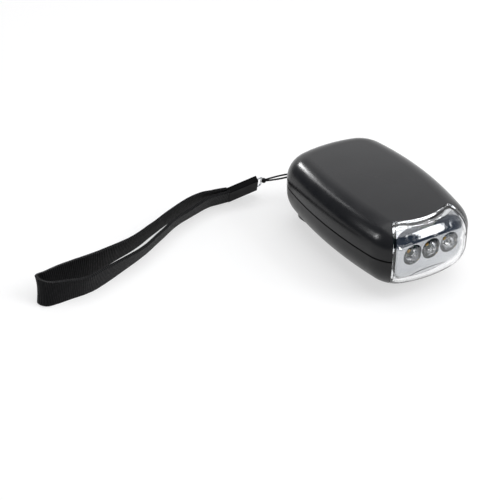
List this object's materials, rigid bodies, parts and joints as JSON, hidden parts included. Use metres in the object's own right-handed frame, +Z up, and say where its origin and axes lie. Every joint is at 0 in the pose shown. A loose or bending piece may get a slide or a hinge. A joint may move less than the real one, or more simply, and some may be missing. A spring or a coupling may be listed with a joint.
{
  "type": "hand-crank flashlight",
  "caption": "Pebble-shaped pocket flashlight charged by a crank folded under it, with a clear front window over diodes in a bright tray and a looped wrist strap on a wire ring.",
  "frame": {"origin": "on the table under the middle of the body, strap left out", "axes": "+X towards the window, +Z up, +Y to the left seen from behind"},
  "size_m": [0.1088, 0.1667, 0.0346],
  "materials": {
    "shell_top": "fine matt dark grey",
    "shell_bottom": "fine matt near black",
    "window": "clear polished plastic",
    "mirror": "bright vacuum plated",
    "diode": "clear domes",
    "board": "green laminate",
    "leg": "tinned",
    "cell": "bright steel cans",
    "sleeve": "shrink sleeve",
    "arm": "fine matt near black",
    "switch": "moulded",
    "gear": "white acetal",
    "plate": "moulded",
    "steel": "ground",
    "magnet": "sintered",
    "copper": "enamelled copper wire",
    "bush": "sintered bronze",
    "cord": "braided",
    "tab": "moulded",
    "webbing": "ribbed weave"
  },
  "bodies": {
    "root": {"top_shell": "shell_top", "bottom_shell": "shell_bottom", "lens": "window", "mirror": "mirror", "led_left": "diode", "led_centre": "diode", "led_right": "diode", "led_legs": "leg", "led_board": "board", "main_board": "board", "battery_cells": "cell", "battery_sleeve": "sleeve", "battery_tabs": "leg", "switch_body": "switch", "crank_bush": "bush", "first_axle": "steel", "second_axle": "steel", "gear_plate": "plate", "plate_screws": "steel", "generator_can": "steel", "generator_cap": "steel", "coil_bobbin": "gear", "coil_winding": "copper", "rotor_lower_bush": "bush", "rotor_upper_bush": "bush", "case_screws": "steel", "strap_cord": "cord", "strap_ring": "steel", "strap_knot": "cord", "strap_tab": "tab", "strap_webbing": "webbing"},
    "crank": {"crank_arm": "arm", "crank_shaft": "steel", "crank_screw": "steel", "drive_gear": "gear", "shaft_clip": "steel", "knob_pin": "steel"},
    "knob": {"knob": "arm"},
    "first_gear": {"first_gear": "gear"},
    "second_gear": {"second_gear": "gear"},
    "rotor": {"rotor_shaft": "steel", "rotor_pinion": "gear", "rotor_magnet": "magnet"},
    "button": {"power_button": "arm", "switch_plunger": "switch"}
  },
  "joints": [
    {"name": "crank_turn", "type": "hinge", "parent": "root", "child": "crank", "pos_m": [0.008, 0, 0], "axis": [0, 0, 1], "continuous": true},
    {"name": "knob_fold", "type": "hinge", "parent": "crank", "child": "knob", "pos_m": [-0.03485, -0.01068, 0.0018], "axis": [-0.2419, 0.9703, 0], "range_deg": [0, 90]},
    {"name": "first_gear_spin", "type": "hinge", "parent": "root", "child": "first_gear", "pos_m": [-0.00509, 0.00756, 0], "axis": [0, 0, 1], "continuous": true},
    {"name": "second_gear_spin", "type": "hinge", "parent": "root", "child": "second_gear", "pos_m": [-0.01695, 0.00324, 0], "axis": [0, 0, 1], "continuous": true},
    {"name": "rotor_spin", "type": "hinge", "parent": "root", "child": "rotor", "pos_m": [-0.01857, -0.00826, 0], "axis": [0, 0, 1], "continuous": true},
    {"name": "button_press", "type": "slide", "parent": "root", "child": "button", "axis": [0, -1, 0], "range_m": [0, 0.0012], "stiffness_N_per_m": 500, "springref_m": -0.0008}
  ],
  "couplings": [
    {"joint": "first_gear_spin", "follows": "crank_turn", "ratio": -4},
    {"joint": "second_gear_spin", "follows": "crank_turn", "ratio": 16},
    {"joint": "rotor_spin", "follows": "crank_turn", "ratio": -57.6}
  ]
}
